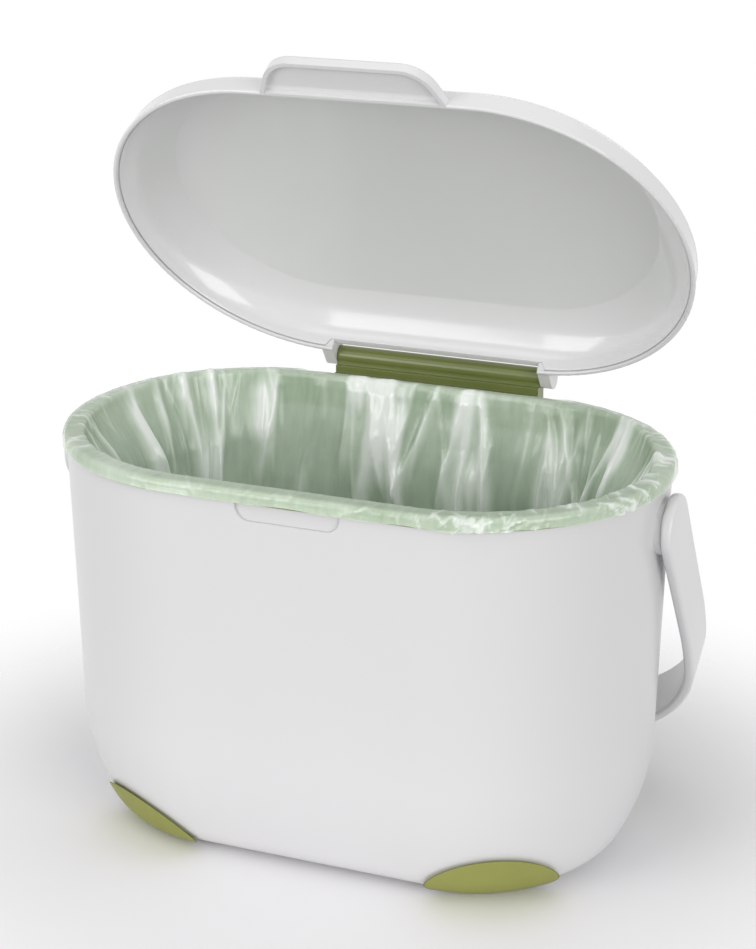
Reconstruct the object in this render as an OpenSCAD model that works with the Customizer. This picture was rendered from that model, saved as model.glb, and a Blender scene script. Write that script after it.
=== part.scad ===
// Compost caddy with a hinged lid, a lift-out bag ring and a swinging bail handle.
// Z is up and the underside of the bucket lies at zero. X runs along the long side, the front is -Y.
// The lid is drawn closed and then turned open about its hinge, which is how the caddy stands here.

/* [Bucket] */
// Length of the bucket at its rim
bucket_l = 244; // [210:1:290]
// Depth of the bucket at its rim, front to back
bucket_d = 150.5; // [120:0.5:180]
// Height of the bucket's rim above its underside
bucket_h = 158.4; // [135:0.1:200]
// How much narrower the walls are at the foot than at the rim, on each side
bucket_draft = 4; // [2:0.5:7]
// Wall thickness of the bucket
bucket_wall = 2.5; // [2:0.1:3.2]
// Height at which the wall starts to round in to the underside
round_h = 49; // [40:1:60]
// How far the rounding comes in from the wall to the flat underside
round_in = 27; // [20:1:32]
// Radius of the tight turn into the flat underside
turn_r = 20; // [12:1:24]

/* [Finger scallop] */
// Length of the shallow recess under the front of the rim
scallop_l = 42; // [30:1:60]
// Height of the recess
scallop_h = 7; // [5:0.5:9]
// Depth of the recess into the wall
scallop_depth = 1.1; // [0.6:0.1:1.3]

/* [Feet] */
// How far the soft pads stand proud of the bucket
foot_proud = 1.5; // [1.5:0.1:3]
// Depth of the recess each pad sits in
foot_seat = 0.6; // [0.4:0.1:1]
// Direction of each foot from the middle of the bucket's round end, from the long axis
foot_turn = 62; // [50:1:70]
// Height of the middle of a foot's arched top edge
foot_top = 19.5; // [14:1:24]
// Slope of the flat that slices each foot off the corner
foot_slope = 49; // [40:0.5:52]

/* [Bag ring] */
// How far the ring stands out past the bucket's rim
ring_out = 0.85; // [0.5:0.05:1.5]
// Height of the ring above the bucket's rim
ring_h = 4.7; // [4:0.1:7]
// Thickness of the ring's top flange
flange_t = 2.2; // [1.8:0.1:3]
// Width of the ring's top flange
flange_w = 7.5; // [5.5:0.5:12]
// Radius of the ring's outer top edge
ring_edge_r = 2; // [1.2:0.1:2.2]
// Thickness of the ring's skirt inside the bucket
skirt_t = 1.8; // [1.4:0.1:2.4]
// How far the ring's skirt reaches down into the bucket
skirt_drop = 9; // [6:0.5:12]
// Gap between the ring's skirt and the bucket's wall
skirt_gap = 0.4; // [0.3:0.05:0.8]

/* [Hinge] */
// Distance of the hinge axis behind the bucket's rim
hinge_back = 8.7; // [8:0.1:10]
// Height of the hinge axis above the bucket's rim
hinge_up = 10.5; // [10:0.1:13]
// Radius of the barrel
barrel_r = 4; // [3.5:0.1:4.5]
// Length of the barrel between the lid's lugs
barrel_l = 91; // [70:1:110]
// Radius of the stub pins on the lugs
hinge_pin_r = 1.8; // [1.5:0.1:2.2]
// Length of each stub pin
hinge_pin_l = 4; // [3:0.5:6]
// Running clearance of the stub pins in the barrel, on the radius
hinge_fit = 0.05; // [0.03:0.01:0.1]
// Thickness of each lug along the hinge
lug_t = 5; // [4:0.1:7]
// Radius of each lug about the hinge
lug_r = 4.5; // [4.2:0.1:5]
// Thickness of the bracket that carries the barrel
bracket_t = 5.5; // [4:0.1:6]
// Depth of the ledge along the bracket, below the barrel's front
ledge_in = 2; // [1:0.1:2.5]
// Drop from the top of the barrel to the ledge
ledge_drop = 7.4; // [6.5:0.1:8]
// Height of the notch in the lid's skirt that makes room for the barrel
notch_h = 4.2; // [3.5:0.1:7]
// How far the lid is open here, from closed
open_angle = 55; // [40:1:60]

/* [Lid] */
// How far the lid's edge lies inside the bag's outline
lid_inset = 0; // [0:0.1:2]
// How much shorter the lid is than the ring, at each end
lid_short = 2.5; // [0:0.5:4]
// Wall thickness of the lid
lid_wall = 2; // [1.6:0.1:2.6]
// Height of the straight skirt round the lid
lid_skirt_h = 8.5; // [6:0.5:11]
// How far the skirt leans in over its height
lid_skirt_lean = 1.4; // [0.8:0.1:2.2]
// Width of the steep shoulder between the skirt and the crown
shoulder_w = 17; // [14:0.5:22]
// Height of the shoulder's inner edge above the skirt
shoulder_h = 13.5; // [11:0.5:16]
// Bow radius of the shoulder
shoulder_r = 50; // [40:1:70]
// Bow radius of the crown
crown_r = 300; // [240:5:400]
// Radius that softens the edge between the shoulder and the crown
crease_r = 14; // [8:0.5:18]

/* [Lid tab] */
// Half the length of the tab where it leaves the skirt
tab_root = 37.5; // [28:0.5:42]
// Half the length of the tab at its tip
tab_tip = 35; // [24:1:37]
// How far the tab stands out from the skirt
tab_out = 16; // [12:0.5:20]
// Height of the tab's edge
tab_h = 4; // [3.5:0.1:5]
// Thickness of the tab's edge wall and of its plate
tab_wall = 1.9; // [1.6:0.1:2.4]
// Corner radius of the tab
tab_r = 13.5; // [8:0.5:15]

/* [Handle] */
// Height of the handle's pivots above the bucket's underside
pivot_h = 142.8; // [120:0.1:144]
// Distance from the pivots to the outside of the crossbar
handle_reach = 150.5; // [135:0.5:160]
// Thickness of the handle's band
handle_t = 4.2; // [3.6:0.1:5.5]
// Corner radius of the hoop, on the outside
handle_corner = 78; // [50:1:95]
// Radius of the round heads at the pivots
head_r = 13; // [11:0.5:14]
// Half the width of the band at the crossbar
bar_half_w = 12; // [8:0.5:13]
// How far behind the bucket's rim the outside of the crossbar hangs
bar_behind = 10; // [4:0.5:16]
// Radius of the round bosses that carry the handle
boss_r = 11; // [9:0.5:12]
// How far the bosses stand out from the rim
boss_out = 1.7; // [1.3:0.1:2.5]
// Gap between a boss and the handle's head
head_gap = 0.3; // [0.2:0.05:0.6]
// Radius of the handle's stub pins
handle_pin_r = 4; // [3:0.1:5]
// Length of the handle's stub pins
handle_pin_l = 3.5; // [3:0.1:3.8]
// Running clearance of the stub pins, on the radius
handle_fit = 0.05; // [0.03:0.01:0.1]

/* [Bag] */
// Thickness of the bag's solid, a stand-in for a thin film
film_t = 0.5; // [0.4:0.1:0.8]
// Gap between the bag and what it hangs on
film_gap = 0.3; // [0.2:0.05:0.5]
// Height of the bag's bottom above the bucket's floor
bag_rise = 3; // [2:0.5:8]
// How far the bag is cut away on each side of the hinge
bag_cut = 60; // [56:1:80]

/* [Hidden] */

$fn = 144;
white = [0.93, 0.93, 0.94];
green = [0.62, 0.65, 0.36];
film = [0.72, 0.86, 0.75, 0.6];

// Half the straight length between the bucket's round ends, and the radius of those ends at the rim
half_straight = (bucket_l - bucket_d) / 2;
rim_r = bucket_d / 2;

// The wall's lean from upright
wall_lean = atan(bucket_draft / bucket_h);
// Point where the wall meets the large arc of the rounding
wall_foot = [rim_r - (bucket_h - round_h) * tan(wall_lean), round_h];
// The large arc touches the wall, and the small turn touches both it and the flat underside
flat_edge = rim_r - bucket_draft - round_in;
// Radius of the large arc, from the place of the small turn
arc_dx = wall_foot[0] - flat_edge;
arc_dz = round_h - turn_r;
arc_r = (arc_dx * arc_dx + arc_dz * arc_dz - turn_r * turn_r)
      / (2 * (arc_dx * cos(wall_lean) - arc_dz * sin(wall_lean) - turn_r));
arc_c = wall_foot - arc_r * [cos(wall_lean), -sin(wall_lean)];
turn_c = [flat_edge, turn_r];
// Unit vector from the large arc's centre through the small turn's centre
turn_dir = (turn_c - arc_c) / norm(turn_c - arc_c);

// The ring's outline, its top and the rim plane of the closed lid
ring_r = rim_r + ring_out;
ring_top = bucket_h + ring_h;
lid_z = ring_top + 2 * film_gap + film_t;
lid_r = ring_r + film_gap + film_t - lid_inset;
lid_half = half_straight - lid_short;

// The hinge axis
hinge_y = rim_r + hinge_back;
hinge_z = bucket_h + hinge_up;

// The handle's pivots
boss_x = bucket_l / 2 + boss_out;
arm_in = boss_x + head_gap;
arm_out = arm_in + handle_t;
// How far the handle leans back from straight down, for its bar to hang behind the bucket
hang_angle = asin((rim_r + bar_behind) / handle_reach);

// Play round a pad in its recess, and gap between the barrel's ends and the lugs
foot_play = 0.1;
lug_gap = 0.3;

// A hair off the top of the lid's crown, so that its round ends close on a small flat instead of a point
crown_flat = 0.02;

// A little more than nothing, to cut cleanly past a face
past = 1;

// A stadium-shaped solid from a section whose axis is the upright through the round end's centre
module round_ended(half) {
    translate([half, 0, 0])
        rotate([0, 0, -90])
            rotate_extrude(angle = 180)
                children();
    translate([-half, 0, 0])
        rotate([0, 0, 90])
            rotate_extrude(angle = 180)
                children();
    rotate([90, 0, 90])
        translate([0, 0, -half])
            linear_extrude(2 * half) {
                children();
                mirror([1, 0])
                    children();
            }
}

// Half section of the bucket's outside, drawn in by a wall thickness and run up to a height
module bucket_section(inset, top) {
    foot = arc_c + (arc_r - inset) * [cos(wall_lean), -sin(wall_lean)];
    turn = turn_c + (turn_r - inset) * turn_dir;
    lap = 5;
    polygon([
        [0, foot[1] - lap],
        [foot[0] - lap, foot[1] - lap],
        foot,
        [foot[0] + (top - foot[1]) * tan(wall_lean), top],
        [0, top]
    ]);
    intersection() {
        translate(arc_c)
            circle(arc_r - inset, $fn = 288);
        translate([0, turn[1]])
            square([rim_r * 2, foot[1] - turn[1]]);
    }
    translate([0, inset])
        square([turn_c[0], turn_r]);
    intersection() {
        translate(turn_c)
            circle(turn_r - inset, $fn = 192);
        translate([0, inset - past])
            square([rim_r * 2, turn_r + lap]);
    }
}

// Radius of the bucket's inside at a height on the straight part of its wall
function inner_r(z) = rim_r - (bucket_h - z) * tan(wall_lean) - bucket_wall / cos(wall_lean);

module bucket() {
    color(white)
        difference() {
            union() {
                round_ended(half_straight)
                    difference() {
                        bucket_section(0, bucket_h);
                        bucket_section(bucket_wall, bucket_h + past);
                    }
                for (s = [-1, 1])
                    handle_boss(s);
            }
            for (s = [-1, 1])
                handle_bore(s);
            finger_scallop();
            for (s = [-1, 1], b = [-1, 1])
                foot_slice(s, b, foot_seat, past, foot_play);
        }
}

// A round boss on one end of the bucket, kept out of its inside
module handle_boss(side) {
    root = half_straight + inner_r(pivot_h - boss_r) + bucket_wall / 2;
    translate([side * root, 0, pivot_h])
        rotate([0, 90 * side, 0])
            cylinder(r = boss_r, h = boss_x - root);
}

module handle_bore(side) {
    depth = handle_pin_l - head_gap + 0.2;
    translate([side * (boss_x - depth), 0, pivot_h])
        rotate([0, 90 * side, 0])
            cylinder(r = handle_pin_r + handle_fit, h = depth + past);
}

// A shallow recess with round lower corners, for a fingertip under the lid's tab
module finger_scallop() {
    corner = scallop_h - 1.5;
    translate([0, -rim_r + scallop_depth, bucket_h])
        rotate([90, 0, 0])
            linear_extrude(bucket_wall * 2)
                union() {
                    translate([-scallop_l / 2, -corner / 4])
                        square([scallop_l, corner / 4 + past]);
                    translate([-scallop_l / 2 + corner, -scallop_h])
                        square([scallop_l - 2 * corner, scallop_h + past]);
                    intersection() {
                        for (s = [-1, 1])
                            translate([s * (scallop_l / 2 - corner), corner - scallop_h])
                                circle(corner);
                        translate([-scallop_l / 2, -scallop_h])
                            square([scallop_l, scallop_h]);
                    }
                }
}

// The slice that a sloping flat cuts off a corner of the bucket's skin, from a depth to a height proud of it
module foot_slice(side, back, depth, proud, grow) {
    reach = arc_c[0] + sqrt(pow(arc_r, 2) - pow(arc_c[1] - foot_top, 2));
    turned = (side > 0 ? 0 : 180) + side * back * foot_turn;
    intersection() {
        round_ended(half_straight)
            difference() {
                bucket_section(-proud, round_h);
                bucket_section(depth, round_h + past);
            }
        translate([side * half_straight, 0, 0])
            rotate([0, 0, turned])
                translate([reach, 0, foot_top])
                    rotate([0, -foot_slope, 0])
                        translate([-bucket_d, -bucket_d / 2, -bucket_d + grow])
                            cube([bucket_d * 2, bucket_d, bucket_d]);
    }
}

// A soft pad, seated in a shallow recess of its own
module foot(side, back) {
    color(green)
        foot_slice(side, back, foot_seat - foot_play / 2, foot_proud, 0);
}

module foot_front_left() {
    foot(-1, -1);
}

module foot_front_right() {
    foot(1, -1);
}

module foot_rear_left() {
    foot(-1, 1);
}

module foot_rear_right() {
    foot(1, 1);
}

// Half section of the bag ring: flange, rounded outer edge and the skirt inside the bucket
module ring_section() {
    lip = flange_t / 2;
    skirt_r = inner_r(bucket_h - skirt_drop) - skirt_gap;
    translate([skirt_r - skirt_t, bucket_h - skirt_drop])
        square([skirt_t, skirt_drop + ring_h - flange_t / 2]);
    translate([skirt_r - skirt_t, bucket_h])
        square([ring_r - skirt_r + skirt_t, ring_h - ring_edge_r]);
    translate([skirt_r - skirt_t, ring_top - flange_t])
        square([ring_r - skirt_r + skirt_t - ring_edge_r, flange_t]);
    translate([ring_r - flange_w + lip, ring_top - flange_t])
        square([flange_w - lip - ring_edge_r, flange_t]);
    translate([ring_r - flange_w + lip, ring_top - lip])
        circle(lip);
    translate([ring_r - ring_edge_r, ring_top - ring_edge_r])
        circle(ring_edge_r);
}

module bag_ring() {
    color(green)
        difference() {
            union() {
                round_ended(half_straight)
                    ring_section();
                hinge_bracket();
            }
            for (s = [-1, 1])
                hinge_bore(s);
        }
}

// The barrel and the plate that carries it, drawn from the side and run along the hinge
module hinge_bracket() {
    seat = bucket_h + 0.5;
    deck = ring_top - 0.6;
    ledge = hinge_z + barrel_r - ledge_drop;
    back = hinge_y + barrel_r / 2;
    front = back - bracket_t;
    rotate([90, 0, 90])
        translate([0, 0, -barrel_l / 2])
            linear_extrude(barrel_l) {
                translate([hinge_y, hinge_z])
                    circle(barrel_r);
                polygon([
                    [ring_r - ring_edge_r, seat],
                    [back, seat],
                    [back, hinge_z],
                    [front, hinge_z],
                    [front, ledge],
                    [front - ledge_in, ledge],
                    [front - ledge_in, deck],
                    [ring_r - ring_edge_r, deck]
                ]);
            }
}

module hinge_bore(side) {
    depth = hinge_pin_l + 0.3;
    translate([side * (barrel_l / 2 - depth), hinge_y, hinge_z])
        rotate([0, 90 * side, 0])
            cylinder(r = hinge_pin_r + hinge_fit, h = depth + past);
}

// Place of the shoulder's inner edge on the lid's outside, above the rim plane
crown_edge = [lid_r - lid_skirt_lean - shoulder_w, lid_skirt_h + shoulder_h];
skirt_edge = [lid_r - lid_skirt_lean, lid_skirt_h];
// Centre of an arc of a radius through two points, on the side towards the axis and below
function arc_centre(p, q, r) =
    let (m = (p + q) / 2, d = q - p, l = norm(d), n = [-d[1], d[0]] / l)
    m + n * sqrt(r * r - l * l / 4);
shoulder_c = arc_centre(skirt_edge, crown_edge, shoulder_r);
crown_c = [0, crown_edge[1] - sqrt(crown_r * crown_r - crown_edge[0] * crown_edge[0])];
// Centre of the small arc that lies inside both the shoulder's and the crown's arcs
function inside_both(a, ra, b, rb, r) =
    let (
        d = norm(b - a),
        u = (b - a) / d,
        pa = ra - r,
        pb = rb - r,
        t = (pa * pa - pb * pb + d * d) / (2 * d),
        h = sqrt(pa * pa - t * t)
    )
    a + u * t + [-u[1], u[0]] * h;
crease_c = inside_both(crown_c, crown_r, shoulder_c, shoulder_r, crease_r);

// Half section of the lid's outside above its rim plane, drawn in by a wall thickness
module lid_section(inset, below) {
    bow = shoulder_r - inset;
    skirt_top = [shoulder_c[0] + sqrt(bow * bow - pow(lid_skirt_h - shoulder_c[1], 2)), lid_skirt_h];
    lap = 3;
    polygon([
        [0, -below],
        [lid_r - inset, -below],
        [lid_r - inset, 0],
        skirt_top,
        skirt_top + [-2 * lap, lap],
        [0, lid_skirt_h + lap]
    ]);
    toward_crown = (crease_c - crown_c) / norm(crease_c - crown_c);
    toward_shoulder = (crease_c - shoulder_c) / norm(crease_c - shoulder_c);
    crown_touch = crease_c + toward_crown * (crease_r - inset);
    shoulder_touch = crease_c + toward_shoulder * (crease_r - inset);
    crown_top = crown_c[1] + crown_r - inset - crown_flat;
    intersection() {
        translate(crown_c)
            circle(crown_r - inset, $fn = 360);
        translate([0, lid_skirt_h])
            square([crown_touch[0], crown_top - lid_skirt_h]);
    }
    intersection() {
        union() {
            translate(shoulder_c)
                circle(bow);
            square([shoulder_c[0], lid_r]);
        }
        translate([0, lid_skirt_h])
            square([lid_r, shoulder_touch[1] - lid_skirt_h]);
    }
    intersection() {
        translate(crease_c)
            circle(crease_r - inset);
        translate([0, lid_skirt_h])
            square([lid_r, lid_r]);
    }
}

// Half section of the lid's shell, with its rim rounded over
module lid_shell_section() {
    edge = lid_wall * 0.4;
    difference() {
        lid_section(0, 0);
        lid_section(lid_wall, past);
        difference() {
            translate([lid_r - edge, -past])
                square([edge + past, edge + past]);
            translate([lid_r - edge, edge])
                circle(edge, $fn = 48);
        }
        difference() {
            translate([lid_r - lid_wall - past, -past])
                square([edge + past, edge + past]);
            translate([lid_r - lid_wall + edge, edge])
                circle(edge, $fn = 48);
        }
    }
}

module closed_lid() {
    difference() {
        translate([0, 0, lid_z])
            round_ended(lid_half)
                lid_shell_section();
        translate([-barrel_l / 2 - lug_gap, 0, lid_z - past])
            cube([barrel_l + lug_gap * 2, lid_r * 2, notch_h + past]);
    }
    lid_tab();
    for (s = [-1, 1])
        hinge_lug(s);
}

// The tab's plan, drawn in by its edge wall, standing out from the front of the skirt
module tab_plan(inset) {
    intersection() {
        hull()
            for (s = [-1, 1]) {
                translate([s * (tab_tip - tab_r), -lid_r - tab_out + tab_r])
                    circle(tab_r - inset, $fn = 64);
                translate([s * (tab_root - inset - 0.5), -lid_r + lid_wall / 2])
                    circle(0.5, $fn = 16);
            }
        translate([-tab_root * 2, -lid_r - tab_out * 2])
            square([tab_root * 4, tab_out * 2 + lid_wall / 2]);
    }
}

module lid_tab() {
    difference() {
        translate([0, 0, lid_z])
            linear_extrude(tab_h)
                tab_plan(0);
        translate([0, 0, lid_z - past])
            linear_extrude(tab_h - tab_wall + past)
                difference() {
                    tab_plan(tab_wall);
                    translate([-tab_root, -lid_r])
                        square([tab_root * 2, tab_out]);
                }
    }
}

// A lug beside the barrel, joined to the back of the skirt, with its stub pin
module hinge_lug(side) {
    from = barrel_l / 2 + lug_gap;
    translate([side > 0 ? from : -from - lug_t, 0, 0])
        rotate([90, 0, 90])
            linear_extrude(lug_t) {
                translate([hinge_y, hinge_z])
                    circle(lug_r);
                polygon([
                    [lid_r - lid_wall / 2, lid_z + 0.4],
                    [hinge_y, hinge_z - lug_r],
                    [hinge_y, hinge_z + lug_r],
                    [lid_r - lid_wall, hinge_z + lug_r]
                ]);
            }
    translate([side * (barrel_l / 2 - hinge_pin_l), hinge_y, hinge_z])
        rotate([0, 90 * side, 0])
            cylinder(r = hinge_pin_r, h = hinge_pin_l + past);
}

module lid() {
    color(white)
        translate([0, hinge_y, hinge_z])
            rotate([-open_angle, 0, 0])
                translate([0, -hinge_y, -hinge_z])
                    closed_lid();
}

// The hoop in its own plane: X across, Y from the pivots towards the crossbar
module hoop_plan(inset) {
    side = arm_out - inset;
    reach = handle_reach - inset;
    corner = handle_corner - inset;
    translate([-side, -head_r - past])
        square([side * 2, reach - corner + head_r + past]);
    translate([-(side - corner), 0])
        square([(side - corner) * 2, reach]);
    for (s = [-1, 1])
        translate([s * (side - corner), reach - corner])
            circle(corner);
}

// The band seen from the side: a round head that narrows to the crossbar
module band_profile() {
    square_end = handle_reach + past;
    circle(head_r);
    polygon([
        [-head_r, 0],
        [-bar_half_w, square_end],
        [bar_half_w, square_end],
        [head_r, 0]
    ]);
}

module carry_handle() {
    color(white)
        translate([0, 0, pivot_h])
            rotate([-90 + hang_angle, 0, 0]) {
                intersection() {
                    translate([0, 0, -head_r])
                        linear_extrude(head_r * 2)
                            difference() {
                                hoop_plan(0);
                                translate([0, -past])
                                    hoop_plan(handle_t);
                            }
                    translate([-arm_out - past, 0, 0])
                        rotate([90, 0, 90])
                            linear_extrude((arm_out + past) * 2)
                                rotate([0, 0, -90])
                                    band_profile();
                }
                for (s = [-1, 1])
                    translate([s * (arm_in - handle_pin_l), 0, 0])
                        rotate([0, 90 * s, 0])
                            cylinder(r = handle_pin_r, h = handle_pin_l + past);
            }
}

// Half section of the bag inside the ring and the bucket, from its bottom up to the ring's flange
module bag_section(inset, top) {
    mouth_r = ring_r - flange_w - film_gap;
    intersection() {
        bucket_section(bucket_wall + bag_rise + inset, top);
        square([mouth_r - inset, top]);
    }
}

// Half section of the bag's edge, folded out over the ring and down its outside
module fold_section(top) {
    inner = ring_r - flange_w - film_gap - film_t;
    outer = ring_r + film_gap + film_t;
    translate([inner, ring_top + film_gap])
        square([outer - inner, film_t]);
    translate([outer - film_t, bucket_h + film_gap])
        square([film_t, ring_h + film_t]);
}

module liner_bag() {
    lip = ring_top + film_gap + film_t;
    color(film)
        union() {
            round_ended(half_straight)
                difference() {
                    bag_section(0, lip);
                    bag_section(film_t, lip + past);
                }
            difference() {
                round_ended(half_straight)
                    fold_section(lip);
                translate([-bag_cut, ring_r - flange_w, bucket_h - past])
                    cube([bag_cut * 2, flange_w * 3, ring_h * 4]);
            }
        }
}

bucket();
bag_ring();
lid();
carry_handle();
foot_front_left();
foot_front_right();
foot_rear_left();
foot_rear_right();
liner_bag();
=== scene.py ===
import bpy
import bmesh
import math
import numpy as np
from mathutils import Matrix, Vector


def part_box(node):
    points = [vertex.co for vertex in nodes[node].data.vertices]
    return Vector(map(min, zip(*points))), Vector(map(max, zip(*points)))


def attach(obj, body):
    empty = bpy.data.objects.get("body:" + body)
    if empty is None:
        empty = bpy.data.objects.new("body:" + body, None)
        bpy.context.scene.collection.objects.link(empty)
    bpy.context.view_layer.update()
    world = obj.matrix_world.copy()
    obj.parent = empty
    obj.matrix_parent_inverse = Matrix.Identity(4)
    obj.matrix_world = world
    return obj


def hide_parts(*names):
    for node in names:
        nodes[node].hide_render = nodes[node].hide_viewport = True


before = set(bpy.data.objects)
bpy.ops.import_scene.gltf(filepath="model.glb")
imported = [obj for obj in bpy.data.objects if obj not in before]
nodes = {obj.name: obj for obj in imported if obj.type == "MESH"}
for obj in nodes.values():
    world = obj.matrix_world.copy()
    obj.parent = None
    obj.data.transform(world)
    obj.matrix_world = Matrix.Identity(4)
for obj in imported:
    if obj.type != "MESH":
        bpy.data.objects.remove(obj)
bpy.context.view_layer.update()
scene = bpy.context.scene

# Sizes of the bucket and the ring, in metres
HALF = 0.04675                          # half the straight length between the round ends
RIM_R = 0.07525                         # the bucket's rim, measured from the round end's centre
RIM_Z = 0.1584                          # the bucket's rim above its underside
RING_R = RIM_R + 0.00085
RING_TALL = 0.0047                      # the ring's top above the bucket's rim
RING_TOP = RIM_Z + RING_TALL
RING_WIDTH = 0.0075                     # width of the ring's top
FLOOR_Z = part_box("foot_front_left")[0][2]


def add_object(name, data):
    """A mesh, a camera or a lamp put into the scene, at the origin."""
    ob = bpy.data.objects.new(name, data)
    scene.collection.objects.link(ob)
    return ob


# Camera
CAMERA_TURN = math.radians(22.06)       # to the right of straight ahead
CAMERA_RISE = math.radians(19.33)
CAMERA_AWAY = 0.92128
CAMERA_TARGET = Vector((0.00574, 0.0, 0.14802))
SENSOR_TALL = 36.0                      # millimetres
PICTURE_TALL = 949.0                    # pixels
FOCAL_LENGTH = 2339.68                  # pixels


def make_camera():
    level = math.cos(CAMERA_RISE)
    back = Vector((math.sin(CAMERA_TURN) * level, -math.cos(CAMERA_TURN) * level, math.sin(CAMERA_RISE)))
    right = Vector((math.cos(CAMERA_TURN), math.sin(CAMERA_TURN), 0.0))
    up = back.cross(right)
    camera = bpy.data.cameras.new("camera")
    camera.sensor_fit = "VERTICAL"
    camera.sensor_height = SENSOR_TALL
    camera.lens = FOCAL_LENGTH * SENSOR_TALL / PICTURE_TALL
    camera.clip_start = 0.05
    camera.clip_end = 50.0
    ob = add_object("camera", camera)
    stand = Matrix((right, up, back)).transposed().to_4x4()
    stand.translation = CAMERA_TARGET + back * CAMERA_AWAY
    ob.matrix_world = stand
    scene.camera = ob


make_camera()


# Node trees
class Term:
    """One number in a node tree. It adds and multiplies as numbers do."""

    def __init__(self, form, socket):
        self.form = form
        self.socket = socket

    def apply(self, kind, *others):
        node = self.form.add("ShaderNodeMath", dict(enumerate((self, *others))), operation=kind)
        return Term(self.form, node.outputs[0])

    def __add__(self, other):
        return self.apply("ADD", other)

    __radd__ = __add__

    def __sub__(self, other):
        return self.apply("SUBTRACT", other)

    def __rsub__(self, other):
        return self.apply("MULTIPLY", -1.0).apply("ADD", other)

    def __mul__(self, other):
        return self.apply("MULTIPLY", other)

    __rmul__ = __mul__

    def __truediv__(self, other):
        return self.apply("DIVIDE", other)

    def sin(self):
        return self.apply("SINE")

    def cos(self):
        return self.apply("COSINE")

    def root(self):
        return self.apply("MAXIMUM", 0.0).apply("SQRT")

    def sign(self):
        return self.apply("SIGN")

    def absolute(self):
        return self.apply("ABSOLUTE")

    def least(self, other):
        return self.apply("MINIMUM", other)

    def most(self, other):
        return self.apply("MAXIMUM", other)

    def share(self, start, end):
        """0 up to the start, 1 from the end on, and even between them."""
        return ((self - start) / (end - start)).most(0.0).least(1.0)


class Nodes:
    """A node tree, with short ways to add nodes and to feed their inputs."""

    def __init__(self, tree):
        self.tree = tree

    def add(self, kind, inputs=None, **props):
        node = self.tree.nodes.new(kind)
        for key, value in props.items():
            setattr(node, key, value)
        for key, value in (inputs or {}).items():
            self.feed(node.inputs[key], value)
        return node

    def feed(self, socket, value):
        """Link another node's socket to this one, or set it to a plain value."""
        if isinstance(value, Term):
            value = value.socket
        if isinstance(value, bpy.types.NodeSocket):
            self.tree.links.new(value, socket)
        else:
            socket.default_value = value

    def math(self, kind, a, b):
        return self.add("ShaderNodeMath", {0: a, 1: b}, operation=kind).outputs[0]


# Materials
class Shader(Nodes):
    """One material, with patterns on the piece's own coordinates."""

    def __init__(self, name):
        self.mat = bpy.data.materials.new(name)
        self.mat.use_nodes = True
        super().__init__(self.mat.node_tree)
        self.bsdf = self.tree.nodes["Principled BSDF"]

    def surface(self, **inputs):
        for label, value in inputs.items():
            self.feed(self.bsdf.inputs[label.replace("_", " ")], value)

    def coords(self):
        return self.add("ShaderNodeTexCoord").outputs["Object"]

    def uv(self, along, across):
        """UV in metres, scaled on each axis, for streaks that run along the film's pleats."""
        place = self.add("ShaderNodeTexCoord").outputs["UV"]
        inputs = {"Vector": place, "Scale": (along, across, 1.0)}
        return self.add("ShaderNodeMapping", inputs).outputs["Vector"]

    def noise(self, vector, scale, detail=3.0, rough=0.5):
        inputs = {"Vector": vector, "Scale": scale, "Detail": detail, "Roughness": rough}
        return self.add("ShaderNodeTexNoise", inputs).outputs["Fac"]

    def ridges(self, vector, detail):
        inputs = {"Vector": vector, "Scale": 1.0, "Detail": detail, "Offset": 0.9, "Gain": 1.6}
        return self.add("ShaderNodeTexNoise", inputs, noise_type="RIDGED_MULTIFRACTAL").outputs["Fac"]

    def ramp(self, factor, stops):
        node = self.add("ShaderNodeValToRGB", {"Fac": factor})
        marks = node.color_ramp.elements
        while len(marks) < len(stops):
            marks.new(0.5)
        for mark, (position, color) in zip(marks, stops):
            mark.position = position
            mark.color = (*color, 1.0)
        return node.outputs["Color"]

    def span(self, factor, low, high):
        inputs = {"Value": factor, "To Min": low, "To Max": high}
        return self.add("ShaderNodeMapRange", inputs).outputs["Result"]

    def both(self, a, share_a, b, share_b):
        """Two patterns added, each times its share."""
        return self.math("ADD", self.math("MULTIPLY", a, share_a), self.math("MULTIPLY", b, share_b))

    def bump(self, height, strength, distance, edge=0.0):
        """Fine relief, on edges that look rounded by the radius given."""
        bump = self.add("ShaderNodeBump", {"Height": height, "Strength": strength, "Distance": distance})
        if edge:
            rounded = self.add("ShaderNodeBevel", {"Radius": edge}, samples=4)
            self.feed(bump.inputs["Normal"], rounded.outputs["Normal"])
        self.surface(Normal=bump.outputs["Normal"])


def grey(v):
    return (v, v * 0.992, v)


def moulded(name, dark, light, cloud, gloss, rough, grain, relief, edge):
    """Moulded plastic or rubber: a faint cloudiness in the colour and the gloss, and the grain of the mould.

    cloud, gloss and grain are each the scale and the detail of a noise, rough is the least and the most
    roughness, and relief is the grain's strength and height.
    """
    s = Shader(name)
    place = s.coords()
    s.surface(
        Base_Color=s.ramp(s.noise(place, *cloud), [(0.3, dark), (0.7, light)]),
        Roughness=s.span(s.noise(place, *gloss), *rough),
    )
    s.bump(s.noise(place, *grain), *relief, edge)
    return s


def white_plastic(name, tone, rough, coat=0.0, edge=0.0006):
    """White plastic from a polished mould."""
    s = moulded(name, dark=grey(tone * 0.985), light=grey(tone),
                cloud=(9.0, 2.0), gloss=(60.0, 4.0), rough=(rough * 0.85, rough * 1.15),
                grain=(900.0, 2.0), relief=(0.05, 0.00004), edge=edge)
    s.surface(IOR=1.49, Coat_Weight=coat, Coat_Roughness=0.06)
    return s.mat


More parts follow.
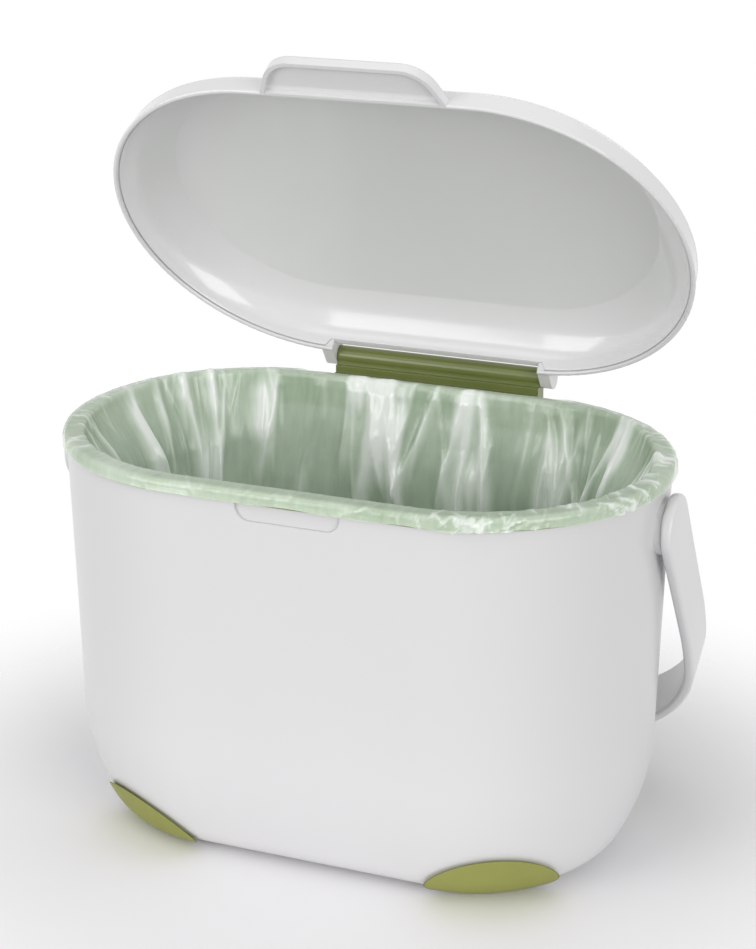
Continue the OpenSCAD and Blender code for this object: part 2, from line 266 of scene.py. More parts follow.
def green_plastic():
    """The ring's glossy green plastic."""
    s = moulded("green_plastic", dark=(0.14, 0.17, 0.045), light=(0.18, 0.21, 0.062),
                cloud=(14.0, 3.0), gloss=(80.0, 3.0), rough=(0.15, 0.25),
                grain=(700.0, 2.0), relief=(0.06, 0.00005), edge=0.0006)
    s.surface(IOR=1.49)
    return s.mat


def soft_green():
    """The feet's soft rubber: matt, with a sandblasted grain."""
    s = moulded("soft_foot", dark=(0.25, 0.262, 0.058), light=(0.30, 0.31, 0.08),
                cloud=(24.0, 3.0), gloss=(120.0, 3.0), rough=(0.5, 0.68),
                grain=(1500.0, 3.0), relief=(0.25, 0.00008), edge=0.0008)
    s.surface(IOR=1.45)
    return s.mat


def film():
    """Thin compostable film: pale green and milky, whiter and less see-through along its fold ridges, partly
    as film folded double and partly as painted highlight, and over the ring's side and top as painted sheen.
    """
    s = Shader("bag_film")
    place = s.coords()
    streak = s.noise(s.uv(260.0, 60.0), 1.0, 5.0, 0.6)
    crinkle = s.ridges(s.uv(95.0, 42.0), 3.0)
    cloud = s.noise(place, 24.0, 3.0, 0.55)
    # the fold attribute whitens the fold ridges, partly for film folded double and partly as painted
    # highlight, and the ring's side and top as painted sheen
    fold = s.add("ShaderNodeAttribute", attribute_name="fold").outputs["Fac"]
    tone = s.both(s.both(streak, 0.30, cloud, 0.66), 0.8, fold, 0.36)
    color = s.ramp(tone, [
        (0.30, (0.55, 0.70, 0.52)),
        (0.46, (0.65, 0.78, 0.61)),
        (0.62, (0.78, 0.87, 0.76)),
        (0.84, (0.94, 0.965, 0.93)),
    ])
    s.surface(
        Base_Color=color,
        Roughness=s.span(s.noise(place, 150.0, 3.0), 0.15, 0.30),
        Alpha=s.math("MINIMUM", s.span(tone, 0.36, 1.12), 0.96),
        IOR=1.48,
        Specular_IOR_Level=0.75,
    )
    s.bump(s.both(streak, 0.30, crinkle, 0.34), 0.5, 0.0011)
    return s.mat


def paint(node, material):
    for slot in nodes[node].material_slots:
        slot.material = material


# the bucket and the lid are one white plastic; the lid's tone is set lighter than the bucket's as painted
# light on the lid's shaded inside
lid_mat = white_plastic("lid_plastic", 0.77, 0.18, 0.3)
paint("bucket", white_plastic("white_plastic", 0.70, 0.3))
paint("lid", lid_mat)
paint("bag_ring", green_plastic())
foot_mat = soft_green()
for corner in ("front_left", "front_right", "rear_left", "rear_right"):
    paint("foot_" + corner, foot_mat)


# The bag, a film hung in the bucket and folded out over the ring
BAG_R = 0.070                           # the bag's way round is measured at this radius
ARC = math.pi * BAG_R
ROUND = 4 * HALF + 2 * ARC              # length of the bag's way round
BAG_COLUMNS = 880
BAG_ROWS = 112
BAG_GAP = 0.0006                        # the film's form lies this far off the ring
HEM = 0.0018                            # the hem hangs this far below the bucket's rim
EDGE_T = HEM + RING_TALL + BAG_GAP + 0.0010     # how far from the hem the film turns onto the ring's top
LIP_T = EDGE_T + RING_WIDTH - 0.001     # and where it turns down inside
BACK = 0.3                              # an outward direction with more y than this looks back
BRACKET_END = (0.0535, 0.0680)          # the film leaves the hinge bracket between these two widths
CALM_X = 0.0605                         # and has few folds about this one
# where the film is bunched on the ring: place round the bag, reach and number of creases
KNOTS = ((0.1160, 0.013, 30), (0.1790, 0.008, 16), (0.4700, 0.014, 14))
LID_SEAT_R = 0.0712                     # outside this radius the closed lid's rim comes down on the film
LID_SEAT_Z = 0.16410
# how far the film stands from its smooth form
PULLED_IN = 0.0020                      # inwards below the ring, all round
PULLED_AT_ENDS = 0.0105                 # and this much more at the round ends
FOLD_AT_LIP = 0.0011                    # a fold's height where it turns down inside
FOLD_BELOW = 0.0019                     # and what it gains further down
SAG_BROAD = 0.0042
SAG_CLOSE = 0.0030
SIDE_FOLD = 0.00050                     # on the ring's side
SIDE_CREASE = 0.00055
TOP_FOLD = 0.00055                      # on the ring's top
TOP_CREASE = 0.00045
GATHER = 0.0017                         # off the ring at the back corners
GATHER_SWELL = 0.0016
BOTTOM_CRUMPLE = 0.0022
BOTTOM_SWELL = 0.0014
SWAY = 0.005                            # sideways, deep in the bag


def smooth(t):
    return t * t * (3 - 2 * t)


def ease(x, start, end):
    """0 up to the start, 1 from the end on, and a soft step between them."""
    return smooth(np.clip((x - start) / (end - start), 0, 1))


def hill(x, middle, reach):
    """1 at the middle, and softly down to 0 on both sides."""
    return np.exp(-((x - middle) / reach) ** 2)


def wave(rows, columns, s, t, rng):
    """Smooth random hills on a grid that closes on itself round the bag."""
    heights = rng.random((rows, columns))
    u = s / ROUND * columns
    v = np.clip(t, 0, 0.9999) * (rows - 1)
    column = np.floor(u).astype(int)
    row = np.floor(v).astype(int)
    part_u = smooth(u - column)
    part_v = smooth(v - row)

    def between(row):
        return heights[row, column % columns] * (1 - part_u) + heights[row, (column + 1) % columns] * part_u

    return between(row) * (1 - part_v) + between(row + 1) * part_v


def way_round(s):
    """Centre of the round end, and direction outwards, at a distance round the bag from its front left."""
    s = s % ROUND
    right = 2 * HALF
    back = 2 * HALF + ARC
    left = 4 * HALF + ARC
    sides = [s < right, s < back, s < left]
    at_right = (s - right) / BAG_R - math.pi / 2
    at_left = (s - left) / BAG_R + math.pi / 2
    angle = np.select(sides, [-math.pi / 2, at_right, math.pi / 2], at_left)
    centre = np.select(sides, [s - HALF, HALF, HALF - (s - back)], -HALF)
    return centre, np.cos(angle), np.sin(angle)


def bag_profile():
    """The bag's section, from its hem, over the ring and down to the middle of its bottom: lengths along it,
    radii and heights.
    """
    outside = RING_R + BAG_GAP
    top = RING_TOP + BAG_GAP
    lip = RING_R - RING_WIDTH - BAG_GAP
    points = [(outside + 0.0005, RIM_Z - HEM), (outside + 0.0003, RIM_Z + 0.0005), (outside, RIM_Z + 0.0025)]
    outer_bend = 0.0021
    inner_bend = 0.0017
    for bend, centre, first in ((outer_bend, outside - outer_bend, 0), (inner_bend, lip + inner_bend, 90)):
        for degrees in range(first, first + 91, 15):
            angle = math.radians(degrees)
            points.append((centre + bend * math.cos(angle), top - bend + bend * math.sin(angle)))
    points += [
        (lip, 0.1590),
        (0.0684, 0.152),
        (0.0690, 0.140),
        (0.0696, 0.125),
        (0.0693, 0.105),
        (0.0686, 0.085),
        (0.0671, 0.062),
        (0.0641, 0.042),
        (0.0596, 0.027),
        (0.0531, 0.0155),
        (0.0456, 0.0095),
        (0.0361, 0.0078),
        (0.0211, 0.0072),
        (0.0100, 0.0070),
        (0.0, 0.0070),
    ]
    points = np.array(points)
    steps = np.linalg.norm(np.diff(points, axis=0), axis=1)
    return np.r_[0, np.cumsum(steps)], points[:, 0], points[:, 1]


def creases(S, T, marks):
    """Sum of sharp-backed folds.

    Each mark is a place round the bag, a lean, a width, a height, a start, an end and a skew. The skew is
    above 1 for a fold that is wider further round.
    """
    total = np.zeros_like(T)
    near = 0.012
    for place, lean, wide, high, start, end, skew in marks:
        touched = np.where((T[:, 0] > start - near) & (T[:, 0] < end + near))[0]
        if len(touched) == 0:
            continue
        rows = slice(touched[0], touched[-1] + 1)
        t = T[rows]
        away = S[rows] - place - lean * (t - start)
        away = (away + ROUND / 2) % ROUND - ROUND / 2
        side = np.where(away > 0, wide * skew, wide / skew)
        ridge = np.exp(-np.abs(away) / side) * 0.6 + hill(away, 0, side) * 0.4
        run = max(end - start, 0.001)
        begun = ease(t, start - 0.12 * run, start + 0.25 * run)
        ended = ease(t, end - 0.35 * run, end + 0.1 * run)
        total[rows] += high * ridge * (begun * (1 - ended))
    return total


def crease(rng, place, start, lean, wide, high, run, skew=None):
    """A mark whose lean, width, height, length and skew are drawn at random."""
    drawn = (rng.normal(0, lean), rng.uniform(*wide), rng.uniform(*high))
    end = start + rng.uniform(*run)
    return (place, *drawn, start, end, rng.uniform(*skew) if skew else 1.0)


def long_folds(rng):
    """Folds that run down from the ring, most of them at the ends and at the back, and longer ones below."""
    marks = []
    for _ in range(120):
        place = rng.random() * ROUND
        _, out_x, out_y = way_round(place)
        at_back = float(out_y) > 0.2
        busy = 0.30 + 0.70 * max(abs(float(out_x)), at_back)
        if rng.random() > busy:
            continue
        thin = rng.random() < 0.35
        wide = rng.uniform(0.0006, 0.0012) if thin else rng.uniform(0.0016, 0.0048)
        high = rng.uniform(0.25, 0.5) if thin else rng.uniform(0.5, 1.15)
        start = rng.uniform(0.003, LIP_T + 0.003)
        end = start + rng.uniform(0.020, 0.085)
        marks.append((place, rng.normal(0, 0.17), wide, high * busy, start, end, rng.uniform(0.45, 2.2)))
    for _ in range(64):
        start = rng.uniform(LIP_T + 0.002, 0.08)
        place = rng.random() * ROUND
        marks.append(crease(rng, place, start, lean=0.14, wide=(0.0016, 0.0062), high=(0.5, 1.2),
                            run=(0.04, 0.11), skew=(0.4, 2.4)))
    return marks


def short_creases(rng):
    """Short creases over the ring's edge: everywhere, more at the ends, and in the knots."""
    marks = []
    for _ in range(90):
        place = rng.random() * ROUND
        lean = rng.normal(0, 0.9)
        wide = rng.uniform(0.0005, 0.0012)
        high = rng.uniform(0.25, 0.6)
        start = rng.uniform(0.0, 0.008)
        end = rng.uniform(0.009, 0.018)
        marks.append((place, lean, wide, high, start, end, rng.uniform(0.6, 1.6)))
    for _ in range(150):
        place = rng.random() * ROUND
        out_x = way_round(place)[1]
        if rng.random() > abs(float(out_x)) ** 1.5:
            continue
        start = rng.uniform(0.003, 0.010)
        marks.append(crease(rng, place, start, lean=0.35, wide=(0.0005, 0.0011), high=(0.4, 0.9),
                            run=(0.008, 0.024), skew=(0.5, 2.0)))
    for middle, reach, count in KNOTS:
        for _ in range(count):
            start = rng.uniform(-0.001, 0.005)
            place = middle + rng.normal(0, 0.55) * reach
            marks.append(crease(rng, place, start, lean=1.5, wide=(0.0004, 0.0008), high=(0.7, 1.3),
                                run=(0.004, 0.009)))
    return marks


def bag_start(s, x, out_y, rng):
    """How far along its section the film begins, how far it lies behind the hinge, and how calm it is."""
    behind = (out_y > BACK) * (1 - ease(np.abs(x), *BRACKET_END))
    turning = (out_y > BACK) * hill(np.abs(x), CALM_X, 0.008)
    hem = wave(2, 40, s, s * 0, rng)
    crumpled = hill(s, KNOTS[0][0], 0.011) + 0.8 * hill(s, KNOTS[1][0], 0.007)
    start = 0.0019 + 0.0006 * hem - 0.0014 * np.clip(crumpled, 0, 1) * wave(2, 150, s, s * 0, rng)
    # behind the hinge bracket the film is only laid over the ring's inner lip
    start = start * (1 - behind) + (EDGE_T + 0.0022) * behind
    return start, behind, 1 - 0.85 * turning


def bag_rows(total):
    """Distances along the section: close rows over the ring, where folds are small, and wider ones below."""
    v = np.linspace(0, 1, BAG_ROWS)
    close = 0.46
    close_run = 0.042
    below = np.clip((v - close) / (1 - close), 0, None) ** 1.15
    return np.where(v < close, v / close * close_run, close_run + below * (total - close_run))


def bag_form():
    """Places of the film's points, their distances round and along it, and how whitened it is at each: along
    fold ridges, partly film folded double and partly painted highlight, and over the ring's side and top as
    painted sheen.
    """
    rng = np.random.default_rng(73)
    lengths, radii, heights = bag_profile()
    total = lengths[-1]
    s = np.arange(BAG_COLUMNS) / BAG_COLUMNS * ROUND
    centre, out_x, out_y = way_round(s)
    start, behind, calm = bag_start(s, centre + out_x * BAG_R, out_y, rng)
    S = np.broadcast_to(s[None, :], (BAG_ROWS, BAG_COLUMNS))
    T = start[None, :] + (bag_rows(total)[:, None] / total) * (total - start[None, :])
    R = np.interp(T, lengths, radii)
    Z = np.interp(T, lengths, heights)

    # where each point lies, from 0 to 1
    on_edge = ease(T, EDGE_T - 0.0022, EDGE_T + 0.0004)
    on_side = 1 - on_edge
    on_top = on_edge * (1 - ease(T, LIP_T - 0.001, LIP_T + 0.003))
    inside = ease(T, LIP_T - 0.0015, LIP_T + 0.005)
    below = T - LIP_T
    depth = ease(below, 0.002, 0.045)
    deep = ease(T, 0.125, 0.17)
    at_end = np.clip(np.abs(out_x), 0, 1) ** 1.2
    at_front = np.clip(-out_y, 0, 1)

    folds = creases(S, T, long_folds(rng))
    short = creases(S, T, short_creases(rng))
    big = wave(5, 15, S, T / total, rng)
    soft = wave(7, 46, S, T / total, rng)
    crumple = 1 - np.abs(2 * wave(24, 70, S, T / total, rng) - 1)

    # the film is pulled in from the ring, most at the ends, and folds and sags further down
    pull = inside * ease(below, -0.002, 0.028) * (1 - 0.7 * ease(below, 0.05, 0.12))
    inward = pull * (PULLED_IN + PULLED_AT_ENDS * at_end[None, :])
    sag = depth * (SAG_BROAD * big + SAG_CLOSE * soft) * (1 - 0.3 * at_front[None, :])
    inward += inside * (folds * (FOLD_AT_LIP + FOLD_BELOW * depth) + sag)
    inward *= 1 - 0.6 * deep
    outward = on_side * (SIDE_FOLD * folds + SIDE_CREASE * short) * calm
    lift = on_top * (TOP_FOLD * folds + TOP_CREASE * short) * calm
    # gathers that stand a little off the ring at the back corners
    loose = ease(out_y, -0.05, 0.45) * (1 - behind) * calm
    stand = hill(T, LIP_T + 0.0005, 0.0035) * loose[None, :]
    lift = lift + stand * (GATHER * np.clip(folds, 0, 1.1) * (0.35 + big) + GATHER_SWELL * soft)

    R = R + outward - inward * np.clip(R / 0.03, 0, 1)
    Z = Z + lift + deep * (BOTTOM_CRUMPLE * crumple + BOTTOM_SWELL * soft)
    # pressed flat where the closed lid's rim comes down on the ring
    under_lid = ease(R, LID_SEAT_R - 0.0006, LID_SEAT_R + 0.0008)
    Z = Z - under_lid * 0.75 * np.clip(Z - (LID_SEAT_Z - 0.00035), 0, None)
    Z = np.where(R > LID_SEAT_R, np.minimum(Z, LID_SEAT_Z), Z)

    lean = (big - 0.5) * SWAY * inside * depth * (1 - deep) * np.clip(R / 0.060, 0, 1)
    X = centre[None, :] * np.clip(R / 0.045, 0, 1) + out_x[None, :] * R - out_y[None, :] * lean
    Y = out_y[None, :] * R + out_x[None, :] * lean
    # fold ridges made whiter: partly film folded double, partly painted highlight on the ridges
    folded = 1.1 * np.clip(folds - 0.55, 0, 1) + 0.8 * np.clip(short - 0.25, 0, 1)
    # the film over the ring's side and top is made whiter as painted sheen, not as a second layer
    doubled_and_painted_sheen = folded + 0.24 * (on_side + on_top)
    return np.stack([X, Y, Z], -1), s, T, np.clip(doubled_and_painted_sheen, 0, 1.1)


def make_bag():
    places, s, T, doubled_and_painted_sheen = bag_form()
    column = np.arange(BAG_COLUMNS)
    after = (column + 1) % BAG_COLUMNS
    base = (np.arange(BAG_ROWS - 1) * BAG_COLUMNS)[:, None]
    below = base + BAG_COLUMNS
    faces = np.stack([base + column, base + after, below + after, below + column], -1)
    mesh = bpy.data.meshes.new("bag")
    mesh.from_pydata(places.reshape(-1, 3).tolist(), [], faces.reshape(-1, 4).tolist())
    layer = mesh.uv_layers.new(name="film")
    s_after = np.where(after == 0, ROUND, s[after])
    u = np.stack([s, s_after, s_after, s], -1)[None, :, :].repeat(BAG_ROWS - 1, 0)
    v = np.stack([T[:-1], T[:-1][:, after], T[1:][:, after], T[1:]], -1)
    layer.data.foreach_set("uv", np.stack([u, v], -1).astype(np.float32).ravel())
    mesh.polygons.foreach_set("use_smooth", [True] * len(mesh.polygons))
    attribute = mesh.attributes.new("fold", "FLOAT", "POINT")
    attribute.data.foreach_set("value", doubled_and_painted_sheen.astype(np.float32).ravel())
    ob = add_object("bag", mesh)
    bm = bmesh.new()
    bm.from_mesh(mesh)
    bmesh.ops.remove_doubles(bm, verts=bm.verts[:], dist=0.00002)
    area = sum(f.calc_area() for f in bm.faces)
    bm.to_mesh(mesh)
    bm.free()
    mesh.materials.append(film())
    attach(ob, "ring_body")
    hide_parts("liner_bag")
    round(area / 0.7, 3)


make_bag()


# Forms made by Geometry Nodes
MERGE = 0.000002                        # points closer than this are one


class Form(Nodes):
    """A Geometry Nodes tree with named sizes. It makes one piece, which becomes a plain mesh."""

    def __init__(self, name, sizes):
        super().__init__(bpy.data.node_groups.new(name, "GeometryNodeTree"))
        self.name = name
        sockets = self.tree.interface
        sockets.new_socket("Geometry", in_out="INPUT", socket_type="NodeSocketGeometry")
        sockets.new_socket("Geometry", in_out="OUTPUT", socket_type="NodeSocketGeometry")
        self.values = {}
        for label, value in sizes.items():
            item = sockets.new_socket(label, in_out="INPUT", socket_type="NodeSocketFloat")
            self.values[item.identifier] = value
        self.entry = self.add("NodeGroupInput")

    def given(self, *labels):
        return [Term(self, self.entry.outputs[label]) for label in labels]

    def sheet(self, rows, columns):
        """A sheet of points, and how far each lies along it and across it, from 0 to 1."""
        grid = self.add("GeometryNodeMeshGrid",
                        {"Size X": 1.0, "Size Y": 1.0, "Vertices X": rows, "Vertices Y": columns})
        place = self.add("ShaderNodeSeparateXYZ", {0: self.add("GeometryNodeInputPosition").outputs[0]})
        along, across = (Term(self, socket) + 0.5 for socket in place.outputs[:2])
        return grid.outputs["Mesh"], along, across

    def shape(self, geometry, x, y, z):
        """Put each point in its place and close the seams."""
        spot = self.add("ShaderNodeCombineXYZ", {"X": x, "Y": y, "Z": z})
        put = self.add("GeometryNodeSetPosition", {"Geometry": geometry, "Position": spot.outputs[0]})
        close = self.add("GeometryNodeMergeByDistance", {"Geometry": put.outputs[0], "Distance": MERGE})
        return close.outputs[0]

    def pin(self, radius, length, x, z):
        """A short round pin that lies across the caddy."""
        rod = self.add("GeometryNodeMeshCylinder", {"Vertices": 48, "Radius": radius, "Depth": length})
        spot = self.add("ShaderNodeCombineXYZ", {"X": x, "Z": z})
        across = (0.0, math.pi / 2, 0.0)
        laid = {"Geometry": rod.outputs["Mesh"], "Translation": spot.outputs[0], "Rotation": across}
        return self.add("GeometryNodeTransform", laid).outputs[0]

    def make(self, parts, material):
        join = self.add("GeometryNodeJoinGeometry")
        for part in parts:
            self.feed(join.inputs[0], part)
        rounded = self.add("GeometryNodeSetShadeSmooth", {0: join.outputs[0]})
        real = self.add("GeometryNodeRealizeInstances", {0: rounded.outputs[0]})
        painted = self.add("GeometryNodeSetMaterial", {0: real.outputs[0], "Material": material})
        self.add("NodeGroupOutput", {0: painted.outputs[0]})
        ob = add_object(self.name, bpy.data.meshes.new(self.name))
        modifier = ob.modifiers.new("form", "NODES")
        modifier.node_group = self.tree
        for key, value in self.values.items():
            modifier[key] = value
        bpy.context.view_layer.update()
        made = ob.evaluated_get(bpy.context.evaluated_depsgraph_get())
        mesh = bpy.data.meshes.new_from_object(made)
        ob.modifiers.clear()
        ob.data = mesh
        return ob


# The carry handle
HANDLE_SIZES = {
    "Outside": 0.1282,
    "Thickness": 0.0042,
    "Head radius": 0.0130,
    "Bar half width": 0.0120,
    "Waist": 0.0033,
    "Reach": 0.1495,
    "Bow radius": 0.254,
    "Bow angle": math.radians(6.1),
    "Corner radius": 0.0727,
    "Edge radius": 0.0016,
    "Pivot height": 0.1428,
    "Lean": math.asin(0.08525 / 0.1505),
    "Pin radius": 0.0040,
    "Pin length": 0.0045,
    "Pin inset": 0.0010,
}


def make_handle():
    """The carry handle as a moulded band: bowed arms, round heads and softly rounded edges."""
    form = Form("handle_band", HANDLE_SIZES)
    (out, thick, head, bar, waist, reach, bow_r, bow_a, corner_r, edge, pivot, lean, pin_r, pin_l,
     pin_in) = form.given(*HANDLE_SIZES)
    rows = 181
    columns = 28
    band, u, v = form.sheet(rows, columns + 1)

    # how far along one arm: first the round head, then the arm, its bow, the corner and half the bar
    side = (u * 2.0 - 1.0).sign()
    t = 1.0 - (u * 2.0 - 1.0).absolute()
    tip = 0.12
    at_head = (t / tip).least(1.0) * (math.pi / 2)
    straight = reach - corner_r - (bow_r - corner_r) * bow_a.sin()
    bow_l = bow_r * bow_a
    turn_a = math.pi / 2 - bow_a
    turn_l = corner_r * turn_a
    bar_l = out - bow_r * (1.0 - bow_a.cos()) - corner_r * bow_a.cos()
    gone = ((t - tip) / (1.0 - tip)).most(0.0) * (straight + bow_l + turn_l + bar_l)
    bow = ((gone - straight) / bow_r).most(0.0).least(bow_a)
    turn = ((gone - straight - bow_l) / corner_r).most(0.0).least(turn_a)
    on_bar = (gone - straight - bow_l - turn_l).most(0.0)
    x = out - bow_r * (1.0 - bow.cos()) + corner_r * ((bow_a + turn).cos() - bow_a.cos()) - on_bar
    on_arm = gone.least(straight) - head * at_head.cos()
    y = on_arm + bow_r * bow.sin() + corner_r * ((bow_a + turn).sin() - bow_a.sin())

    # the band's section: wide at the heads, a little waisted, thin, with rounded edges
    down = (y / reach).most(0.0)
    width = head * (1.0 - down) + bar * down - down * (1.0 - down) * waist
    above = y.least(0.0) / head
    wide = width * (1.0 - above * above).root()
    lost = edge - (y + head).least(edge)
    half = thick * 0.5 - edge + (edge * edge - lost * lost).root()
    rounding = edge.least(wide).least(half)
    around = (v + 0.5 / columns) * math.tau
    across = around.cos().sign() * (half - rounding) + rounding * around.cos()
    along = around.sin().sign() * (wide - rounding) + rounding * around.sin()
    depth = across - thick * 0.5
    out_x = x + (bow + turn).cos() * depth
    out_y = y + (bow + turn).sin() * depth

    # leaned back from the pivots, as it hangs
    back = out_y * lean.sin() + along * lean.cos()
    height = pivot - out_y * lean.cos() + along * lean.sin()
    band = form.shape(band, side.most(-1.0) * out_x, back, height)
    pin_x = out - thick - pin_l * 0.5 + pin_in
    pins = [form.pin(pin_r, pin_l, pin_x * s, pivot) for s in (-1.0, 1.0)]
    ob = form.make([band, *pins], white_plastic("handle_plastic", 0.74, 0.3, 0.0, 0.0))
    bm = bmesh.new()
    bm.from_mesh(ob.data)
    bmesh.ops.recalc_face_normals(bm, faces=bm.faces[:])
    bm.to_mesh(ob.data)
    bm.free()
    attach(ob, "handle_body")
    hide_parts("carry_handle")


make_handle()


# The lid
LID_Z = 0.1642                          # the lid's rim plane, closed
LID_HALF = 0.04425                      # half the straight length between the round ends
LID_WALL = 0.0020
LID_RIM_R = 0.0769
SKIRT_H = 0.0085
CROWN_R = 0.300
SHOULDER_R = 0.050
CROWN_EDGE = Vector((0.0585, 0.0220))   # where crown and shoulder meet, above the rim plane
SKIRT_EDGE = Vector((0.0755, SKIRT_H))
SKIN = 0.0001                           # each skin of the crown stands this far off the wall
OUTER_CREASE = 0.0058                   # radius of the crease between crown and shoulder
INNER_CREASE = 0.0036
INNER_BLEND = 0.016                     # radius of the bend from the shoulder's inside into the skirt
HINGE_Y = 0.08395
HINGE_Z = 0.1689
OPENING = math.radians(55)
# the shell's stretches from its middle outwards, each with the shares of the sheet where it starts and ends
CROWN_STRETCH = ("crown", 0.0, 0.38)
BENT_STRETCHES = (("crease", 0.38, 0.62), ("shoulder", 0.62, 0.80), ("blend", 0.80, 0.92))
SKIRT_START = 0.92


def direction(v):
    """The angle of a vector from straight up."""
    return math.atan2(v.x, v.y)


def lid_arcs(inset, tight, blend=0.0):
    """Centres of crown and shoulder, and each stretch's radius and end angle, at a depth in the wall."""
    step = CROWN_EDGE - SKIRT_EDGE
    side = Vector((-step.y, step.x)).normalized()
    shoulder_c = (CROWN_EDGE + SKIRT_EDGE) / 2 + side * math.sqrt(SHOULDER_R ** 2 - step.length_squared / 4)
    crown_c = Vector((0.0, CROWN_EDGE.y - math.sqrt(CROWN_R ** 2 - CROWN_EDGE.x ** 2)))
    dome = CROWN_R - inset
    bend = SHOULDER_R - inset

    # the crease arc touches both from inside
    gap = shoulder_c - crown_c
    u = gap.normalized()
    to_crown = dome - tight
    to_shoulder = bend - tight
    t = (to_crown * to_crown - to_shoulder * to_shoulder + gap.length_squared) / (2 * gap.length)
    crease_c = crown_c + u * t - Vector((-u.y, u.x)) * math.sqrt(to_crown * to_crown - t * t)

    # and the blend arc touches the shoulder and the skirt
    last = math.acos((SKIRT_H - shoulder_c.y) / bend)
    end = last
    if blend:
        foot = Vector((LID_RIM_R - inset, 0.0))
        top = Vector((shoulder_c.x + bend * math.sin(last), SKIRT_H))
        run = (top - foot).normalized()
        inward = Vector((-run.y, run.x))
        near = foot + inward * blend - shoulder_c
        dot = near.dot(run)
        reach = -dot + math.sqrt(dot * dot - near.length_squared + (bend - blend) ** 2)
        last = direction(near + run * reach)
        end = direction(-inward)
    arcs = {
        "crown": (dome, direction(crease_c - crown_c)),
        "crease": (tight, direction(crease_c - shoulder_c)),
        "shoulder": (bend, last),
        "blend": (max(blend, 0.001), end),
    }
    return crown_c, shoulder_c, arcs


def turned(y, z, hinge_y, hinge_z, c, s):
    """A point turned back about the hinge, by the angle whose cosine and sine are given."""
    back = y - hinge_y
    up = z - hinge_z
    return hinge_y + back * c + up * s, hinge_z + up * c - back * s


def make_crown():
    """The lid's crown and shoulder, one closed shell: a shallow dome, a tight crease and a bowed shoulder."""
    crown_c, _, outer = lid_arcs(-SKIN, OUTER_CREASE)
    inner = lid_arcs(LID_WALL + SKIN, INNER_CREASE, INNER_BLEND)[2]
    sizes = {
        "Half straight": LID_HALF,
        "Crown centre": crown_c.y + LID_Z,
        "Seat radius": 0.07456,
        "Seat height": LID_Z + 0.0065,
        "Rim height": LID_Z + 0.0009,
        "Notch height": LID_Z + 0.0046,
        "Notch half width": 0.0472,
        "Hinge back": HINGE_Y,
        "Hinge height": HINGE_Z,
        "Opening": OPENING,
    }
    labels = tuple(sizes)
    sizes.update({"Inner skirt run": 0.0060, "Outer skirt run": 0.0})
    for side, arcs in (("Outer ", outer), ("Inner ", inner)):
        for label, (radius, angle) in arcs.items():
            sizes[side + label + " radius"] = radius
            sizes[side + label + " angle"] = angle
    form = Form("lid_crown", sizes)
    half, centre, seat_r, seat_z, rim_z, notch_z, notch_x, hinge_y, hinge_z, opening = form.given(*labels)
    columns = 240
    rings = 48
    skins = []
    for side in ("Outer ", "Inner "):
        sheet, u, v = form.sheet(columns + 1, rings + 1)
        v = v * (rings / (rings - 1.0))
        label, start, end = CROWN_STRETCH
        radius, angle = form.given(side + label + " radius", side + label + " angle")
        at = v.share(start, end) * angle
        rho = radius * at.sin()
        z = centre + radius * at.cos()
        for label, start, end in BENT_STRETCHES:
            before = angle
            radius, angle = form.given(side + label + " radius", side + label + " angle")
            at = before + v.share(start, end) * (angle - before)
            rho = rho + radius * (at.sin() - before.sin())
            z = z + radius * (at.cos() - before.cos())

        # down the skirt's inside to the rim, or to the notch over the hinge barrel
        around = (u + 0.5 / columns) * math.tau
        (run,) = form.given(side + "skirt run")
        in_notch = (notch_x - half - around.cos().absolute() * rho).sign().most(0.0)
        behind = around.sin().sign().most(0.0) * in_notch
        lowest = rim_z + behind * (notch_z - rim_z)
        down = (v.share(SKIRT_START, 1.0) * run).least((z - lowest).most(0.0) / angle.sin())
        rho = rho + down * angle.cos()
        z = z - down * angle.sin()

        # the last ring sinks into the wall, where both skins meet
        sink = ((v - 1.0) * (rings - 1.0)).most(0.0)
        rho = rho + sink * (seat_r - rho)
        z = z + sink * (seat_z - z)
        x = around.cos().sign() * half + around.cos() * rho
        y, z = turned(around.sin() * rho, z, hinge_y, hinge_z, opening.cos(), opening.sin())
        sheet = form.shape(sheet, x, y, z)
        if side == "Outer ":
            sheet = form.add("GeometryNodeFlipFaces", {0: sheet}).outputs[0]
        skins.append(sheet)
    ob = form.make(skins, lid_mat)
    bm = bmesh.new()
    bm.from_mesh(ob.data)
    bmesh.ops.remove_doubles(bm, verts=bm.verts[:], dist=MERGE)
    bm.to_mesh(ob.data)
    bm.free()
    ob.data.set_sharp_from_angle(angle=math.radians(40))
    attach(ob, "lid_body")


def make_lid():
    """The lid's rim, skirt, tab and lugs as they are, and the middle drawn in between the crown's skins."""
    mesh = nodes["lid"].data.copy()
    mesh.name = "lid_rim"
    crown_c, shoulder_c, _ = lid_arcs(0.0, OUTER_CREASE)
    drawn_r = 0.062                     # the wall is drawn in inside this radius
    in_wall = 0.55 * LID_WALL
    c = math.cos(OPENING)
    s = math.sin(OPENING)
    for vert in mesh.vertices:
        y, z = turned(vert.co.y, vert.co.z, HINGE_Y, HINGE_Z, c, -s)
        rho = math.hypot(max(abs(vert.co.x) - LID_HALF, 0.0), y)
        if rho < drawn_r and z > LID_Z + SKIRT_H:
            top = crown_c.y + math.sqrt(CROWN_R ** 2 - rho ** 2)
            if rho > shoulder_c.x:
                top = min(top, shoulder_c.y + math.sqrt(SHOULDER_R ** 2 - (rho - shoulder_c.x) ** 2))
            vert.co.y, vert.co.z = turned(y, LID_Z + top - in_wall, HINGE_Y, HINGE_Z, c, s)
    ob = add_object("lid_rim", mesh)
    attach(ob, "lid_body")
    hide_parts("lid")


make_lid()
make_crown()

# Floor, background and light
FLOOR_REACH = 4.0
FADE_START = 0.11                       # the floor begins to fade this far from the origin
FADE_END = 0.28
ROOM_LIGHT = 0.44
LAMP_TARGET = (0, 0, 0.1)


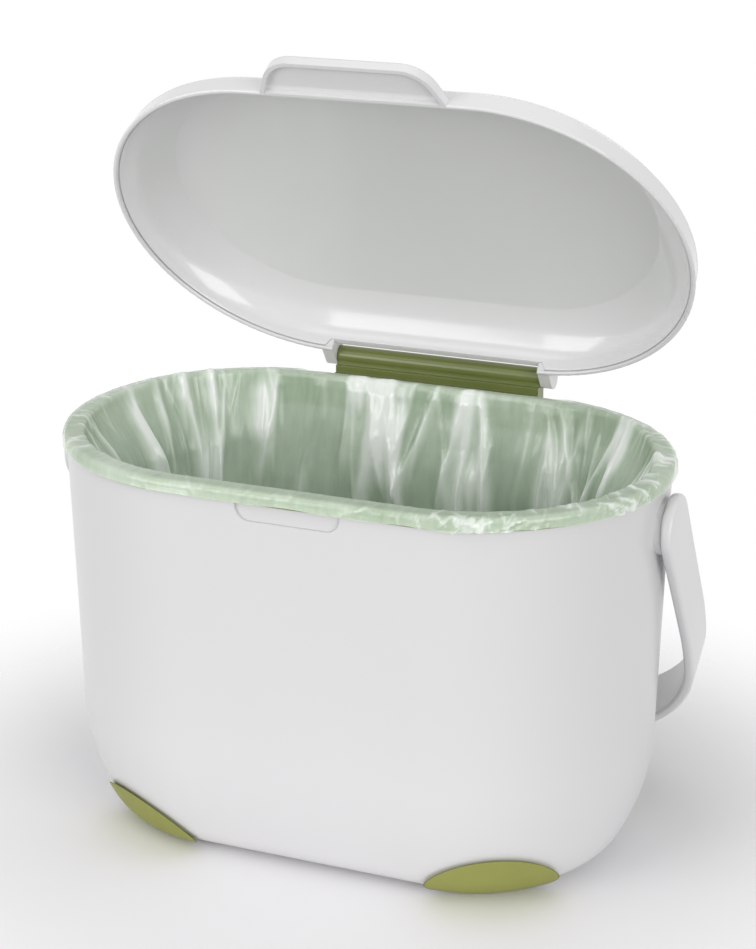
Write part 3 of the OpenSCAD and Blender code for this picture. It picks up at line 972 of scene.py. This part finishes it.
def make_floor():
    """A pale floor that fades into the white background a little way from the caddy."""
    mesh = bpy.data.meshes.new("floor")
    e = FLOOR_REACH
    corners = [(-e, -e, FLOOR_Z), (e, -e, FLOOR_Z), (e, e, FLOOR_Z), (-e, e, FLOOR_Z)]
    mesh.from_pydata(corners, [], [(0, 1, 2, 3)])
    ob = add_object("floor", mesh)
    s = Shader("floor")
    place = s.coords()
    away = s.add("ShaderNodeVectorMath", {0: place}, operation="LENGTH").outputs["Value"]
    limits = {"Value": away, "From Min": FADE_START, "From Max": FADE_END, "To Min": 1.0, "To Max": 0.0}
    fade = s.add("ShaderNodeMapRange", limits, interpolation_type="SMOOTHSTEP").outputs["Result"]
    color = s.ramp(s.noise(place, 3.0, 2.0), [(0.3, grey(0.90)), (0.7, grey(0.92))])
    s.surface(Base_Color=color, Alpha=fade, Roughness=0.85)
    mesh.materials.append(s.mat)


def make_world():
    """An even room light, and plain white where the background itself is seen, mirrored or shines through."""
    world = bpy.data.worlds.new("world")
    scene.world = world
    world.use_nodes = True
    world.node_tree.nodes.clear()
    s = Nodes(world.node_tree)
    room = s.add("ShaderNodeBackground", {"Color": (0.99, 0.99, 1.0, 1.0), "Strength": ROOM_LIGHT})
    paper = s.add("ShaderNodeBackground", {"Color": (1.0, 1.0, 1.0, 1.0), "Strength": 1.0})
    ray = s.add("ShaderNodeLightPath").outputs
    through = s.math("MAXIMUM", ray["Is Transmission Ray"], ray["Is Glossy Ray"])
    seen = s.math("MAXIMUM", ray["Is Camera Ray"], through)
    mix = s.add("ShaderNodeMixShader", {0: seen, 1: room.outputs[0], 2: paper.outputs[0]})
    s.add("ShaderNodeOutputWorld", {"Surface": mix.outputs[0]})


def make_lamp(name, place, target, size, power):
    """A square soft box that faces its target."""
    lamp = bpy.data.lights.new(name, "AREA")
    lamp.energy = power
    lamp.size = size
    ob = add_object(name, lamp)
    ob.location = place
    ob.rotation_euler = (Vector(target) - Vector(place)).to_track_quat("-Z", "Y").to_euler()


make_floor()
make_world()
make_lamp("key", (-0.6, -0.95, 1.8), LAMP_TARGET, 1.2, 6.0)
make_lamp("fill", (1.5, -1.1, 0.6), (0, 0, 0.12), 1.2, 17.5)
make_lamp("top", (0.1, 0.3, 1.7), LAMP_TARGET, 1.4, 2.4)
make_lamp("low", (-1.0, -1.45, 0.42), (0, 0, 0.2), 1.0, 12.3)
scene.view_settings.view_transform = "Standard"
